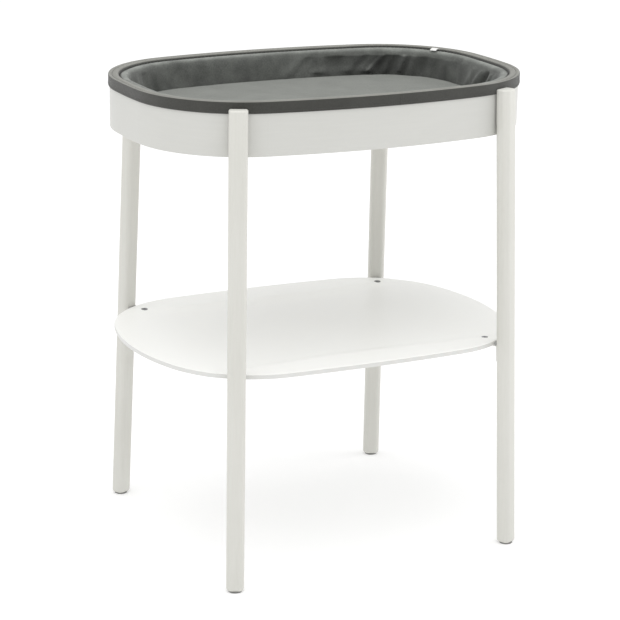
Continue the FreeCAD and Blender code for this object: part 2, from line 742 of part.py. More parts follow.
hem_elastic = keep(new_body("hem_elastic"))
oval_pad(hem_elastic, "band", "tray", ELASTIC_LOW, ELASTIC_LOW + " + elastic_height",
         HEM_INSIDE + " - elastic_thickness", HEM_INSIDE)


# ---------------------------------------------------------------- padded liner

LINER_LOW = "floor_top + fabric_gap"
WALL_LOW = LINER_LOW + " + liner_base_thickness"
liner_base = keep(new_body("liner_base"))
oval_pad(liner_base, "sheet", "tray", LINER_LOW, WALL_LOW, "liner_outer")

padded_liner = keep(new_body("padded_liner"))
oval_pad(padded_liner, "lower_wall", "tray", WALL_LOW, "hem_inner_bottom - fabric_gap", "liner_outer")
oval_pad(padded_liner, "upper_wall", "tray", "hem_inner_bottom - fabric_gap", "liner_top", "liner_neck")
new_loft(padded_liner, "SubtractiveLoft", "hollow", [
    oval_sketch(padded_liner, "hollow_foot", "tray", WALL_LOW, "liner_foot"),
    oval_sketch(padded_liner, "hollow_pad", "tray", "pad_top", "liner_foot"),
    oval_sketch(padded_liner, "hollow_bulge", "tray", "liner_bulge_height", "liner_bulge"),
    oval_sketch(padded_liner, "hollow_lip", "tray", "liner_top", "liner_lip"),
])

label_turn = math.radians(value("label_angle"))
label_out = Vector(math.sin(label_turn), math.cos(label_turn), 0)
label_inset = value("liner_neck") + value("label_length")
label_place = oval_corner("tray") + label_out * (value("tray_corner_radius") - label_inset)
label_place.z = value("liner_top") + value("fabric_gap")
label_frame = Placement(label_place, Rotation(Vector(0, 0, 1), -value("label_angle")))
loop_label = keep(doc.addObject("Part::Box", "loop_label"))
loop_label.Label = "loop_label"
loop_label.setExpression("Length", bound("label_width"))
loop_label.setExpression("Width", bound("label_length"))
loop_label.setExpression("Height", bound("label_thickness"))
loop_label.Placement = label_frame.multiply(Placement(Vector(-value("label_width") / 2, 0, 0), Rotation()))


# ---------------------------------------------------------------- changing pad

COVER = "pad_cover_thickness"
pad_foam = keep(new_body("pad_foam"))
oval_pad(pad_foam, "core", "tray", "pad_bottom + " + COVER, "pad_top - " + COVER, "pad_inset + " + COVER)
round_edges(pad_foam, "edge_rounds", "pad_round - " + COVER,
            [number("pad_bottom + " + COVER), number("pad_top - " + COVER)])


def make_pad_cover(label, low, high, outer_edge):
    """Half of the sewn cover: a rounded block with the foam's own shape taken out of it."""
    half = new_body(label + "_blank")
    oval_pad(half, "block", "tray", low, high, "pad_inset")
    round_edges(half, "edge_round", "pad_round", [value(outer_edge)])
    cover = keep(new_difference(label, half, pad_foam))
    cover.Label = label


make_pad_cover("pad_top_cover", "pad_seam", "pad_top", "pad_top")
make_pad_cover("pad_base_cover", "pad_bottom", "pad_seam", "pad_bottom")


# ---------------------------------------------------------------- check and write

doc.recompute()
for item in doc.Objects:
    if {"Invalid", "Error"} & set(item.State):
        raise RuntimeError("%s failed: %s" % (item.Label, item.State))

os.makedirs("parts", exist_ok=True)
for item in SUBPARTS:
    if item.Shape.isNull() or not item.Shape.isValid():
        raise RuntimeError(item.Label + " has no valid shape")
    item.Shape.exportStep("parts/%s.step" % item.Label)
    box = item.Shape.BoundBox
    print("%-28s %2d solids %12.0f mm3  X %7.1f %7.1f  Y %7.1f %7.1f  Z %7.1f %7.1f" % (
        item.Label, len(item.Shape.Solids), item.Shape.Volume,
        box.XMin, box.XMax, box.YMin, box.YMax, box.ZMin, box.ZMax))
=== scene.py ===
import math

import bmesh
import bpy
from mathutils import Matrix, Vector


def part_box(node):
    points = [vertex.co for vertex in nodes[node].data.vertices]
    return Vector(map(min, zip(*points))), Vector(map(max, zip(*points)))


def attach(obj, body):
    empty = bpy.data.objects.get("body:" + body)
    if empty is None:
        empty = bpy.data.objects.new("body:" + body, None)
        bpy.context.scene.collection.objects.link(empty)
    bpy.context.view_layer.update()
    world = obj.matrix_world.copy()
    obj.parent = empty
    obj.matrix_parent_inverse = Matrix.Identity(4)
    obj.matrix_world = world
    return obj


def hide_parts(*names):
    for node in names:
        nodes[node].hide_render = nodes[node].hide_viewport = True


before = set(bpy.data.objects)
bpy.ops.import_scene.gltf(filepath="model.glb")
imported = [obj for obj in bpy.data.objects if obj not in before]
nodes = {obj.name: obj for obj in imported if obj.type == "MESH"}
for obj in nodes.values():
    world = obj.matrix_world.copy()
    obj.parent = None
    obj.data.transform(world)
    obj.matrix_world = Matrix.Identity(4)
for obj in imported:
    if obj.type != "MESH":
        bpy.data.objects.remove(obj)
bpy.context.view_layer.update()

# Changing table: an oval padded tray on four splayed legs, with a dished shelf below.
# Metres, +Z up, -Y is the front. Every piece is made where it belongs and rides on its CAD body.
scene = bpy.context.scene


# ---------------------------------------------------------------- studio
# A white floor and an even white surround, lit by a large soft box overhead and a weaker one at
# the right. The camera stands in front of the table and to its left, and looks down on the tray.

eye = Vector((-1.9113, -3.7717, 1.6582))
heading, dip, roll = 0.46814, 0.28159, 0.016936
lens, sensor = 129.55, 36.0
forward = Vector((math.sin(heading) * math.cos(dip), math.cos(heading) * math.cos(dip), -math.sin(dip)))
level = Vector((math.cos(heading), -math.sin(heading), 0))
upright = level.cross(forward)
right = level * math.cos(roll) + upright * math.sin(roll)
up = upright * math.cos(roll) - level * math.sin(roll)

camera_data = bpy.data.cameras.new("camera")
camera_data.lens = lens
camera_data.sensor_width = sensor
camera_data.clip_end = 200
camera = bpy.data.objects.new("camera", camera_data)
camera.matrix_world = Matrix.Translation(eye) @ Matrix((right, up, -forward)).transposed().to_4x4()
scene.collection.objects.link(camera)
scene.camera = camera


def add_node(tree, kind, inputs=None, **properties):
    """A node with its properties set and its inputs given a value or linked to a socket."""
    node = tree.nodes.new(kind)
    for key, setting in properties.items():
        setattr(node, key, setting)
    for key, source in (inputs or {}).items():
        if isinstance(source, bpy.types.NodeSocket):
            tree.links.new(source, node.inputs[key])
        else:
            node.inputs[key].default_value = source
    return node


def new_object(name, mesh):
    piece = bpy.data.objects.new(name, mesh)
    scene.collection.objects.link(piece)
    return piece


def mesh_from(name, verts, faces):
    mesh = bpy.data.meshes.new(name)
    mesh.from_pydata([tuple(v) for v in verts], [], faces)
    mesh.polygons.foreach_set("use_smooth", [True] * len(mesh.polygons))
    return mesh


scene.view_settings.view_transform = "Standard"

surround_light = 0.785
backdrop_white = 1.05                # the surround as the camera sees it
world = bpy.data.worlds.new("surround")
world.use_nodes = True
scene.world = world
world.node_tree.nodes.clear()
seen = add_node(world.node_tree, "ShaderNodeLightPath").outputs["Is Camera Ray"]
lit = add_node(world.node_tree, "ShaderNodeBackground", {"Color": (1, 1, 1, 1), "Strength": surround_light})
backdrop = add_node(world.node_tree, "ShaderNodeBackground", {
    "Color": (1, 1, 1, 1), "Strength": backdrop_white})
either = add_node(world.node_tree, "ShaderNodeMixShader", {
    0: seen, 1: lit.outputs[0], 2: backdrop.outputs[0]})
add_node(world.node_tree, "ShaderNodeOutputWorld", {"Surface": either.outputs[0]})


def soft_box(name, place, target, side, watts):
    light = bpy.data.lights.new(name, "AREA")
    light.shape = "SQUARE"
    light.size = side
    light.energy = watts
    box = bpy.data.objects.new(name, light)
    place, target = Vector(place), Vector(target)
    aim = (place - target).to_track_quat("Z", "Y").to_matrix().to_4x4()
    box.matrix_world = Matrix.Translation(place) @ aim
    scene.collection.objects.link(box)


soft_box("overhead_box", (-0.6, -0.5, 3.4), (0.0, 0.0, 0.7), 3.6, 55)
soft_box("side_box", (3.1, -0.5, 1.4), (0.0, 0.0, 0.5), 1.8, 19)

# The floor glows a little, and more so away from the table, so that it is an even white.
floor_reach = 40.0
glow_near, glow_far = 0.235, 0.38
glow_start, glow_end = 0.6, 3.0      # distances from the table's middle
floor_corners = [(x * floor_reach, y * floor_reach, 0) for x, y in ((-1, -1), (1, -1), (1, 1), (-1, 1))]
floor_mesh = mesh_from("studio_floor", floor_corners, [(0, 1, 2, 3)])
floor_paint = bpy.data.materials.new("studio_floor_paint")
floor_paint.use_nodes = True
floor_tree = floor_paint.node_tree
floor_shader = floor_tree.nodes["Principled BSDF"]
floor_shader.inputs["Base Color"].default_value = (0.84, 0.84, 0.84, 1)
floor_shader.inputs["Roughness"].default_value = 0.95
floor_shader.inputs["Specular IOR Level"].default_value = 0.0
floor_shader.inputs["Emission Color"].default_value = (1, 1, 1, 1)
floor_place = add_node(floor_tree, "ShaderNodeTexCoord").outputs["Object"]
away = add_node(floor_tree, "ShaderNodeVectorMath", {0: floor_place}, operation="LENGTH").outputs["Value"]
glow = add_node(floor_tree, "ShaderNodeMapRange", {
    "Value": away, "From Min": glow_start, "From Max": glow_end, "To Min": glow_near, "To Max": glow_far})
floor_tree.links.new(glow.outputs[0], floor_shader.inputs["Emission Strength"])
floor_mesh.materials.append(floor_paint)
new_object("studio_floor", floor_mesh)


# ---------------------------------------------------------------- legs
# Four tapered beech legs with rounded corners, sprayed with a satin white lacquer. The grain
# runs the length of a leg and shows through the lacquer as faint lines.

def lacquer(name, colour, shade, grain, line_size, roughness, relief):
    """Sprayed satin paint over a grained board: grain stretches the pattern's coordinates."""
    material = bpy.data.materials.new(name)
    material.use_nodes = True
    tree = material.node_tree
    shader = tree.nodes["Principled BSDF"]
    place = add_node(tree, "ShaderNodeTexCoord").outputs["Object"]
    along = add_node(tree, "ShaderNodeMapping", {"Vector": place, "Scale": grain}).outputs[0]
    lines = add_node(tree, "ShaderNodeTexNoise", {
        "Vector": along, "Scale": 1 / line_size, "Detail": 4.0, "Roughness": 0.6}).outputs["Fac"]
    clouds = add_node(tree, "ShaderNodeTexNoise", {
        "Vector": place, "Scale": 6.0, "Detail": 2.0}).outputs["Fac"]
    peel = add_node(tree, "ShaderNodeTexNoise", {
        "Vector": place, "Scale": 420.0, "Detail": 2.0}).outputs["Fac"]
    both = add_node(tree, "ShaderNodeMath", {0: lines, 1: clouds}, operation="ADD").outputs[0]
    share = add_node(tree, "ShaderNodeMapRange", {
        "Value": both, "From Min": 0.75, "From Max": 1.25, "To Min": 0.0, "To Max": 1.0}).outputs[0]
    tint = add_node(tree, "ShaderNodeMix", {
        "Factor": share, 6: (*shade, 1), 7: (*colour, 1)}, data_type="RGBA")
    gloss = add_node(tree, "ShaderNodeMapRange", {
        "Value": lines, "From Min": 0.3, "From Max": 0.7,
        "To Min": roughness - 0.05, "To Max": roughness + 0.06}).outputs[0]
    skin = add_node(tree, "ShaderNodeMath", {0: lines, 1: peel}, operation="ADD").outputs[0]
    bump = add_node(tree, "ShaderNodeBump", {"Height": skin, "Strength": 0.5, "Distance": relief})
    tree.links.new(tint.outputs[2], shader.inputs["Base Color"])
    tree.links.new(gloss, shader.inputs["Roughness"])
    tree.links.new(bump.outputs[0], shader.inputs["Normal"])
    return material


def dress(material, *names):
    """Gives a CAD node's own mesh a finished material."""
    for name in names:
        nodes[name].data.materials.clear()
        nodes[name].data.materials.append(material)


corners = ("front_left", "front_right", "back_left", "back_right")
leg_lacquer = lacquer("leg_lacquer", (0.665, 0.660, 0.618), (0.635, 0.630, 0.585),
                      grain=(1.0, 1.0, 0.03), line_size=0.0035, roughness=0.42, relief=0.00006)
dress(leg_lacquer, *["leg_" + corner for corner in corners])


# ---------------------------------------------------------------- foot glides
# A grey moulded plastic disc under each foot keeps the end grain off the floor. A steel pin
# through its middle is driven up into the leg.

def plain_finish(name, colour, roughness, metal, speck_size, speck_share, relief):
    """A moulded, plated or rubbed finish: a colour with fine specks in its tone and its skin."""
    material = bpy.data.materials.new(name)
    material.use_nodes = True
    tree = material.node_tree
    shader = tree.nodes["Principled BSDF"]
    shader.inputs["Metallic"].default_value = metal
    place = add_node(tree, "ShaderNodeTexCoord").outputs["Object"]
    specks = add_node(tree, "ShaderNodeTexNoise", {
        "Vector": place, "Scale": 1 / speck_size, "Detail": 3.0}).outputs["Fac"]
    darker = [channel * (1 - speck_share) for channel in colour]
    tint = add_node(tree, "ShaderNodeMix", {
        "Factor": specks, 6: (*darker, 1), 7: (*colour, 1)}, data_type="RGBA")
    gloss = add_node(tree, "ShaderNodeMapRange", {
        "Value": specks, "To Min": roughness - 0.08, "To Max": roughness + 0.08}).outputs[0]
    bump = add_node(tree, "ShaderNodeBump", {"Height": specks, "Strength": 0.4, "Distance": relief})
    tree.links.new(tint.outputs[2], shader.inputs["Base Color"])
    tree.links.new(gloss, shader.inputs["Roughness"])
    tree.links.new(bump.outputs[0], shader.inputs["Normal"])
    return material


glide_plastic = plain_finish("grey_glide_plastic", (0.24, 0.24, 0.23), 0.55, 0.0, 0.0012, 0.3, 0.0001)
dress(glide_plastic, *["foot_glide_" + corner for corner in corners])
zinc = plain_finish("zinc_plate", (0.34, 0.345, 0.35), 0.46, 1.0, 0.0015, 0.22, 0.00004)
dress(zinc, "glide_pins")


# ---------------------------------------------------------------- tray ring
# A ring of bent plywood, filled and sprayed satin white. Eight socket bolts go out through it
# into brass inserts in the legs, over thin nylon spacers that leave room for the fabric hem.

ring_lacquer = lacquer("ring_lacquer", (0.605, 0.605, 0.576), (0.585, 0.585, 0.555),
                       grain=(0.05, 0.05, 1.0), line_size=0.004, roughness=0.36, relief=0.00004)
dress(ring_lacquer, "tray_ring")
brass = plain_finish("brass_turned", (0.72, 0.55, 0.27), 0.33, 1.0, 0.001, 0.15, 0.00003)
nylon = plain_finish("nylon_spacer", (0.42, 0.42, 0.41), 0.5, 0.0, 0.001, 0.12, 0.00004)
dress(zinc, "leg_bolts", "leg_bolt_washers")
dress(brass, "leg_inserts")
dress(nylon, "leg_spacers")


# ---------------------------------------------------------------- tray floor
# A grey-faced fibreboard that drops onto four pine battens. The battens are screwed to the inside
# of the ring, and the board is screwed down into the battens.

board_paint = lacquer("board_paint", (0.56, 0.56, 0.54), (0.52, 0.52, 0.50),
                      grain=(0.06, 1.0, 1.0), line_size=0.003, roughness=0.55, relief=0.00005)
dress(board_paint, "tray_floor")


def raw_wood(name, pale, dark, grain, ring_size):
    """Sawn pine: stretched rings of pale early wood and darker late wood."""
    material = bpy.data.materials.new(name)
    material.use_nodes = True
    tree = material.node_tree
    shader = tree.nodes["Principled BSDF"]
    place = add_node(tree, "ShaderNodeTexCoord").outputs["Object"]
    along = add_node(tree, "ShaderNodeMapping", {"Vector": place, "Scale": grain}).outputs[0]
    rings = add_node(tree, "ShaderNodeTexWave", {
        "Vector": along, "Scale": 0.3 / ring_size, "Distortion": 3.0, "Detail": 3.0},
        bands_direction="Z").outputs["Fac"]
    pores = add_node(tree, "ShaderNodeTexNoise", {
        "Vector": along, "Scale": 900.0, "Detail": 3.0}).outputs["Fac"]
    share = add_node(tree, "ShaderNodeMath", {0: rings, 1: pores}, operation="MULTIPLY").outputs[0]
    tint = add_node(tree, "ShaderNodeMix", {"Factor": share, 6: (*pale, 1), 7: (*dark, 1)}, data_type="RGBA")
    bump = add_node(tree, "ShaderNodeBump", {"Height": pores, "Strength": 0.5, "Distance": 0.0002})
    shader.inputs["Roughness"].default_value = 0.75
    tree.links.new(tint.outputs[2], shader.inputs["Base Color"])
    tree.links.new(bump.outputs[0], shader.inputs["Normal"])
    return material


long_batten = raw_wood("pine_along_x", (0.72, 0.54, 0.34), (0.52, 0.33, 0.17), (0.05, 1.0, 1.0), 0.004)
end_batten = raw_wood("pine_along_y", (0.72, 0.54, 0.34), (0.52, 0.33, 0.17), (1.0, 0.05, 1.0), 0.004)
dress(long_batten, "floor_cleat_front", "floor_cleat_back")
dress(end_batten, "floor_cleat_left", "floor_cleat_right")
dress(zinc, "cleat_screws", "floor_screws")


# ---------------------------------------------------------------- shelf
# A thin board moulded to an oval tray shape and sprayed white. It is flat at its two ends and
# at the four screws. A soft crease runs between each pair of screws, and it sinks inside them.

shelf_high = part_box("shelf")[1]
shelf_radii = (3.0, 0.441, 0.2)      # bend radii of its long sides, ends and corners
shelf_thickness = 0.009
shelf_edge_round = 0.002
dish_depth = 0.008
crease_screw = Vector((0.2655, 0.2208))  # where each crease starts, beside a screw
crease_middle = 0.205                # a crease's distance from the long axis, half way along
crease_slope = 0.034                 # width of the slope inside a crease
dish_end = 0.345                     # the dish runs out this far from the middle
dish_end_slope = 0.17
screw_recess_radius = 0.007
screw_recess_depth = 0.0025


def outline_stations(half_length, half_width, radii, count):
    """Even steps round eight tangent arcs, as (place, outward direction, distance from the +X end)."""
    side_radius, end_radius, corner_radius = radii
    side_centre = Vector((0, half_width - side_radius))
    end_centre = Vector((half_length - end_radius, 0))
    line = end_centre - side_centre
    side_reach, end_reach = side_radius - corner_radius, end_radius - corner_radius
    along = (side_reach ** 2 - end_reach ** 2 + line.length_squared) / (2 * line.length)
    across = math.sqrt(side_reach ** 2 - along ** 2)
    unit = line.normalized()
    corner = side_centre + unit * along + Vector((unit.y, -unit.x)) * across
    end_turn = math.atan2(corner.y, corner.x - end_centre.x)
    side_turn = math.atan2(corner.y - side_centre.y, corner.x)
    quarter = [(end_centre, end_radius, 0, end_turn), (corner, corner_radius, end_turn, side_turn),
               (side_centre, side_radius, side_turn, math.pi / 2)]
    arcs = list(quarter)
    arcs += [(Vector((-c.x, c.y)), r, math.pi - b, math.pi - a) for c, r, a, b in reversed(quarter)]
    arcs += [(-c, r, a + math.pi, b + math.pi) for c, r, a, b in arcs]
    total = sum(r * (b - a) for _, r, a, b in arcs)
    stations = []
    for step in range(count):
        distance = total * step / count
        left = distance
        for centre, radius, start, end in arcs:
            if left <= radius * (end - start):
                break
            left -= radius * (end - start)
        turn = start + left / radius
        outward = Vector((math.cos(turn), math.sin(turn)))
        stations.append((centre + outward * radius, outward, distance))
    return stations, total


def ease(share):
    share = min(max(share, 0.0), 1.0)
    return share * share * (3 - 2 * share)


def shelf_sink(x, y):
    """How far the shelf lies below its rim at a place."""
    crease = crease_middle + (crease_screw.y - crease_middle) * min((x / crease_screw.x) ** 2, 1.6)
    inside = min(max((crease - abs(y)) / crease_slope, 0.0), 1.0)
    return dish_depth * math.sin(inside * math.pi / 2) * ease((dish_end - abs(x)) / dish_end_slope)


shelf_stations, _ = outline_stations(shelf_high.x, shelf_high.y, shelf_radii, 288)
flat_rows = 22
flat_inset = 0.14                    # rows follow the outline this far in, then close on the middle
middle_rows = 14
round_steps = 4
rows = []
for step in range(round_steps + 1):
    turn = math.pi / 2 * step / round_steps
    rows.append((shelf_edge_round * (1 - math.cos(turn)), shelf_edge_round * (1 - math.sin(turn)), 1.0))
for step in range(1, flat_rows + 1):
    rows.append((shelf_edge_round + (flat_inset - shelf_edge_round) * step / flat_rows, 0.0, 1.0))
for step in range(1, middle_rows):
    rows.append((flat_inset, 0.0, 1 - step / middle_rows))

verts, faces = [], []
count = len(shelf_stations)
for side in (1, -1):
    face_height = shelf_high.z if side > 0 else shelf_high.z - shelf_thickness
    for inset, drop, share in rows:
        for place, outward, _ in shelf_stations:
            spot = (place - outward * inset) * share
            verts.append((spot.x, spot.y, face_height - side * drop - shelf_sink(*spot)))
    verts.append((0, 0, face_height - shelf_sink(0, 0)))
half = len(rows) * count + 1
for side, base in ((1, 0), (-1, half)):
    for row in range(len(rows)):
        for step in range(count):
            a, b = base + row * count + step, base + row * count + (step + 1) % count
            last = row == len(rows) - 1
            face = (a, b, base + half - 1) if last else (a, b, b + count, a + count)
            faces.append(face if side > 0 else tuple(reversed(face)))
for step in range(count):
    faces.append((half + step, half + (step + 1) % count, (step + 1) % count, step))
shelf = new_object("shelf_board", mesh_from("shelf_board", verts, faces))

drill = bmesh.new()
for x_side in (-1, 1):
    for y_side in (-1, 1):
        centre = Vector((crease_screw.x * x_side, crease_screw.y * y_side, shelf_high.z))
        recess = Matrix.Translation(centre)
        bmesh.ops.create_cone(drill, cap_ends=True, segments=48, radius1=screw_recess_radius,
                              radius2=screw_recess_radius, depth=2 * screw_recess_depth, matrix=recess)
drill_mesh = bpy.data.meshes.new("shelf_recess_drill")
drill.to_mesh(drill_mesh)
drill.free()
recess_drill = new_object("shelf_recess_drill", drill_mesh)


def bake_modifiers(piece):
    """Turns a piece and its modifiers into one plain mesh."""
    depsgraph = bpy.context.evaluated_depsgraph_get()
    baked = bpy.data.meshes.new_from_object(piece.evaluated_get(depsgraph))
    piece.modifiers.clear()
    piece.data = baked
    return baked


cut = shelf.modifiers.new("recesses", "BOOLEAN")
cut.object = recess_drill
cut.operation = "DIFFERENCE"
cut.solver = "EXACT"
bake_modifiers(shelf)
bpy.data.objects.remove(recess_drill)
shelf.data.set_sharp_from_angle(angle=math.radians(35))

# Painted light: one white lacquer in two copies, the top brighter as if lit from above, the edge darker as if
# in shade.
shelf_top_lit_lacquer = lacquer("shelf_top_lit_lacquer", (0.965, 0.968, 0.945), (0.955, 0.958, 0.935),
                        grain=(1.0, 1.0, 1.0), line_size=0.02, roughness=0.36, relief=0.00003)
shaded_edge_lacquer = lacquer("shelf_shaded_edge_lacquer", (0.70, 0.70, 0.68), (0.68, 0.68, 0.655),
                       grain=(0.1, 0.1, 1.0), line_size=0.0015, roughness=0.42, relief=0.00005)
shelf_face_tilt = 0.75               # faces flatter than this take the brighter top copy, a painted top light
shelf.data.materials.clear()
shelf.data.materials.append(shelf_top_lit_lacquer)
shelf.data.materials.append(shaded_edge_lacquer)
for polygon in shelf.data.polygons:
    polygon.material_index = 0 if polygon.normal.z > shelf_face_tilt else 1
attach(shelf, "frame")
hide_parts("shelf")


# ---------------------------------------------------------------- shelf fixings
# A bent steel angle, powder coated white, under the shelf at each leg: two wood screws hold it to
# the leg, and a bolt and a nut to the shelf. A grey rubber block keeps the shelf off the leg.

bracket_coat = plain_finish("bracket_powder_coat", (0.72, 0.72, 0.69), 0.5, 0.0, 0.0008, 0.06, 0.00008)
spacer_rubber = plain_finish("spacer_rubber", (0.40, 0.40, 0.39), 0.6, 0.0, 0.001, 0.25, 0.00008)
dress(bracket_coat, *["shelf_bracket_" + corner for corner in corners])
dress(zinc, "shelf_screws", "shelf_nuts", "bracket_screws")
dress(spacer_rubber, "shelf_spacers")


# ---------------------------------------------------------------- liner base
# A flat sheet of the liner's own fabric is sewn to the foot of the padded wall. It lies on the
# tray's board, and the pad covers it.

tray_radii = (1.39, 1.12, 0.204)     # the ring's bend radii: long sides, ends and corners
ring_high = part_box("tray_ring")[1]
base_low, base_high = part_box("liner_base")
base_stations, _ = outline_stations(ring_high.x, ring_high.y, tray_radii, 240)
base_inset = ring_high.x - base_high.x
thread = 0.0009                      # pitch of the weave
deepest_fold_shade = 0.45                  # the painted shade of fully gathered folds, as a share of the cloth's own tone


def woven(name, light, dark, sheen, relief, painted_top_light=1.0, fleck_share=0.36, cloudy=0.04):
    """Plain-woven heather cloth, made paler where it faces up (a painted top light), and darker
    where its fold shade attribute is 1 (a painted shade for its gathered folds). Its UV map is in metres.
    cloudy is how much the brushed nap changes its tone."""
    material = bpy.data.materials.new(name)
    material.use_nodes = True
    tree = material.node_tree
    shader = tree.nodes["Principled BSDF"]
    shader.inputs["Roughness"].default_value = 0.85
    shader.inputs["Specular IOR Level"].default_value = 0.25
    shader.inputs["Sheen Weight"].default_value = sheen
    shader.inputs["Sheen Roughness"].default_value = 0.5
    cloth = add_node(tree, "ShaderNodeTexCoord").outputs["UV"]
    bands = math.tau / 20 / thread
    warp = add_node(tree, "ShaderNodeTexWave", {"Vector": cloth, "Scale": bands, "Distortion": 0.6,
                                                "Detail": 1.0}, bands_direction="X").outputs["Fac"]
    weft = add_node(tree, "ShaderNodeTexWave", {"Vector": cloth, "Scale": bands, "Distortion": 0.6,
                                                "Detail": 1.0}, bands_direction="Y").outputs["Fac"]
    weave = add_node(tree, "ShaderNodeMath", {0: warp, 1: weft}, operation="MULTIPLY").outputs[0]
    flecks = []
    for stretch in ((1.0, 0.35, 1.0), (0.35, 1.0, 1.0)):
        pulled = add_node(tree, "ShaderNodeMapping", {"Vector": cloth, "Scale": stretch}).outputs[0]
        flecks.append(add_node(tree, "ShaderNodeTexNoise", {
            "Vector": pulled, "Scale": 0.6 / thread, "Detail": 2.0}).outputs["Fac"])
    yarn = add_node(tree, "ShaderNodeMath", {0: flecks[0], 1: flecks[1]}, operation="ADD").outputs[0]
    wear = add_node(tree, "ShaderNodeTexNoise", {
        "Vector": cloth, "Scale": 14.0, "Detail": 3.0}).outputs["Fac"]
    mixed = add_node(tree, "ShaderNodeMath", {0: yarn, 1: wear}, operation="ADD").outputs[0]
    share = add_node(tree, "ShaderNodeMapRange", {
        "Value": mixed, "From Min": 1.5 - fleck_share, "From Max": 1.5 + fleck_share}).outputs[0]
    yarns = add_node(tree, "ShaderNodeMix", {
        "Factor": share, 6: (*dark, 1), 7: (*light, 1)}, data_type="RGBA")
    # Painted top light: the colour is made paler where the cloth faces up, as if lit from above.
    facing = add_node(tree, "ShaderNodeTexCoord").outputs["Normal"]
    upward = add_node(tree, "ShaderNodeSeparateXYZ", {0: facing}).outputs[2]
    top_light_tone = add_node(tree, "ShaderNodeMapRange", {
        "Value": upward, "From Min": 0.5, "From Max": 0.97, "To Min": 1.0, "To Max": painted_top_light},
        interpolation_type="SMOOTHSTEP").outputs[0]
    # Painted shade: the colour is darkened where the wall's point attribute marks gathered folds, for their
    # shadows.
    fold_shade = add_node(tree, "ShaderNodeAttribute", attribute_name="fold_shade").outputs["Fac"]
    fold_shaded = add_node(tree, "ShaderNodeMapRange", {
        "Value": fold_shade, "To Min": 1.0, "To Max": deepest_fold_shade}).outputs[0]
    nap = add_node(tree, "ShaderNodeTexNoise", {
        "Vector": cloth, "Scale": 26.0, "Detail": 3.0}).outputs["Fac"]
    brushed = add_node(tree, "ShaderNodeMapRange", {
        "Value": nap, "From Min": 0.32, "From Max": 0.68,
        "To Min": 1 - cloudy, "To Max": 1 + cloudy}).outputs[0]
    painted_light_tone = add_node(tree, "ShaderNodeMath", {0: top_light_tone, 1: fold_shaded}, operation="MULTIPLY").outputs[0]
    tone = add_node(tree, "ShaderNodeMath", {0: painted_light_tone, 1: brushed}, operation="MULTIPLY").outputs[0]
    tint = add_node(tree, "ShaderNodeVectorMath", {0: yarns.outputs[2], "Scale": tone}, operation="SCALE")
    bump = add_node(tree, "ShaderNodeBump", {"Height": weave, "Strength": 0.6, "Distance": relief})
    tree.links.new(tint.outputs[0], shader.inputs["Base Color"])
    tree.links.new(bump.outputs[0], shader.inputs["Normal"])
    return material


def write_uv(mesh, spot_of):
    """A UV map in metres, where spot_of gives a corner's place on the cloth from its vertex."""
    layer = mesh.uv_layers.new(name="cloth")
    for polygon in mesh.polygons:
        for loop, vertex in zip(polygon.loop_indices, polygon.vertices):
            layer.data[loop].uv = spot_of(polygon, vertex)


base_rings = (0.0, 0.002, 0.05, 0.1, 0.14)  # insets of the sheet's rows of points
verts, faces = [], []
count = len(base_stations)
for extra in base_rings:
    for place, outward, _ in base_stations:
        verts.append((*(place - outward * (base_inset + extra)), base_high.z))
verts.append((0, 0, base_high.z))
for row in range(len(base_rings)):
    for step in range(count):
        a, b = row * count + step, row * count + (step + 1) % count
        last = row == len(base_rings) - 1
        faces.append((a, b, len(verts) - 1) if last else (a, b, b + count, a + count))
base_mesh = mesh_from("liner_base_cloth", verts, faces)
write_uv(base_mesh, lambda polygon, vertex: base_mesh.vertices[vertex].co.xy)
liner_base = new_object("liner_base_cloth", base_mesh)
thicken = liner_base.modifiers.new("thickness", "SOLIDIFY")
thicken.thickness = base_high.z - base_low.z
thicken.offset = -1
bake_modifiers(liner_base)
# The liner's up-facing parts, such as its lip, are painted paler: a painted top light.
liner_cloth = woven("liner_cloth", (0.138, 0.144, 0.134), (0.082, 0.087, 0.079), sheen=0.2,
                    relief=0.0003, painted_top_light=1.95, cloudy=0.24)
base_mesh = liner_base.data
base_mesh.materials.clear()
base_mesh.materials.append(liner_cloth)
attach(liner_base, "liner")
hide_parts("liner_base")


# ---------------------------------------------------------------- padded liner
# The tray's soft wall: woven cloth over wadding, sewn to the hem along its lip and to the base
# at its foot. It is cut longer than the ring, so the spare cloth gathers into soft folds.

wall_stations, wall_girth = outline_stations(ring_high.x, ring_high.y, tray_radii, 560)
# The section from the neck beside the hem, over the lip and down the inner face: inset, height.
neck_points = [(0.0212, 0.8950), (0.0210, 0.9010), (0.0213, 0.9045), (0.0224, 0.9066)]
lip_points = [(0.0246, 0.9078), (0.0276, 0.9083), (0.0308, 0.9078), (0.0338, 0.9062), (0.0364, 0.9036),
              (0.0384, 0.9003)]
face_top, face_foot = Vector((0.0398, 0.8966)), Vector((0.0464, 0.8370))
face_steps = 24
face_belly = 0.0012                  # the wadding swells the face's middle inwards
face_points = []
for step in range(face_steps + 1):
    share = step / face_steps
    spot = face_top.lerp(face_foot, share)
    face_points.append((spot.x + face_belly * math.sin(share * math.pi), spot.y))
back_points = [(0.0450, 0.8345), (0.0300, 0.8342), (0.0150, 0.8345), (0.0145, 0.8600), (0.0150, 0.8900),
               (0.0190, 0.8930)]
wall_section = neck_points + lip_points + face_points + back_points
first_face_row = len(neck_points) + len(lip_points)
last_face_row = first_face_row + face_steps

